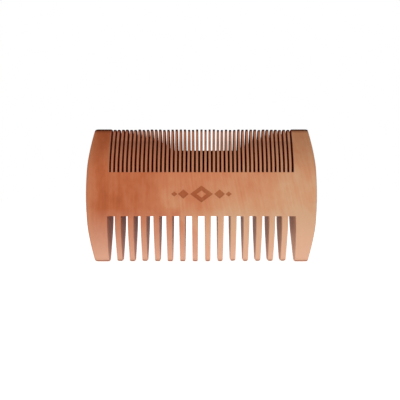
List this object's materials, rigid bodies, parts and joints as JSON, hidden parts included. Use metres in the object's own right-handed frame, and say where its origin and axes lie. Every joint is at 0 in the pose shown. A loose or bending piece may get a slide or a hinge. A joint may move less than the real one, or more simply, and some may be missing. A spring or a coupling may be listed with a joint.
{
  "type": "beard comb",
  "caption": "Double-sided wooden beard comb with fine teeth on one edge, wide teeth on the other, and a solid guard at each end.",
  "frame": {"origin": "middle of the box's underside, on the tips of the wide teeth, halfway along and halfway through the comb", "axes": "+X along the comb, +Y from the front face to the back face, +Z from the wide teeth to the fine teeth"},
  "size_m": [0.095, 0.01, 0.056],
  "materials": {
    "wood": "satin"
  },
  "bodies": {
    "root": {"spine": "wood", "left_guard": "wood", "right_guard": "wood", "wide_tooth_01": "wood", "wide_tooth_02": "wood", "wide_tooth_03": "wood", "wide_tooth_04": "wood", "wide_tooth_05": "wood", "wide_tooth_06": "wood", "wide_tooth_07": "wood", "wide_tooth_08": "wood", "wide_tooth_09": "wood", "wide_tooth_10": "wood", "wide_tooth_11": "wood", "wide_tooth_12": "wood", "wide_tooth_13": "wood", "wide_tooth_14": "wood", "fine_tooth_01": "wood", "fine_tooth_02": "wood", "fine_tooth_03": "wood", "fine_tooth_04": "wood", "fine_tooth_05": "wood", "fine_tooth_06": "wood", "fine_tooth_07": "wood", "fine_tooth_08": "wood", "fine_tooth_09": "wood", "fine_tooth_10": "wood", "fine_tooth_11": "wood", "fine_tooth_12": "wood", "fine_tooth_13": "wood", "fine_tooth_14": "wood", "fine_tooth_15": "wood", "fine_tooth_16": "wood", "fine_tooth_17": "wood", "fine_tooth_18": "wood", "fine_tooth_19": "wood", "fine_tooth_20": "wood", "fine_tooth_21": "wood", "fine_tooth_22": "wood", "fine_tooth_23": "wood", "fine_tooth_24": "wood", "fine_tooth_25": "wood", "fine_tooth_26": "wood", "fine_tooth_27": "wood", "fine_tooth_28": "wood", "fine_tooth_29": "wood", "fine_tooth_30": "wood", "fine_tooth_31": "wood", "fine_tooth_32": "wood", "fine_tooth_33": "wood", "fine_tooth_34": "wood", "fine_tooth_35": "wood", "fine_tooth_36": "wood", "fine_tooth_37": "wood", "fine_tooth_38": "wood", "fine_tooth_39": "wood", "fine_tooth_40": "wood", "fine_tooth_41": "wood", "fine_tooth_42": "wood", "fine_tooth_43": "wood"}
  },
  "joints": []
}
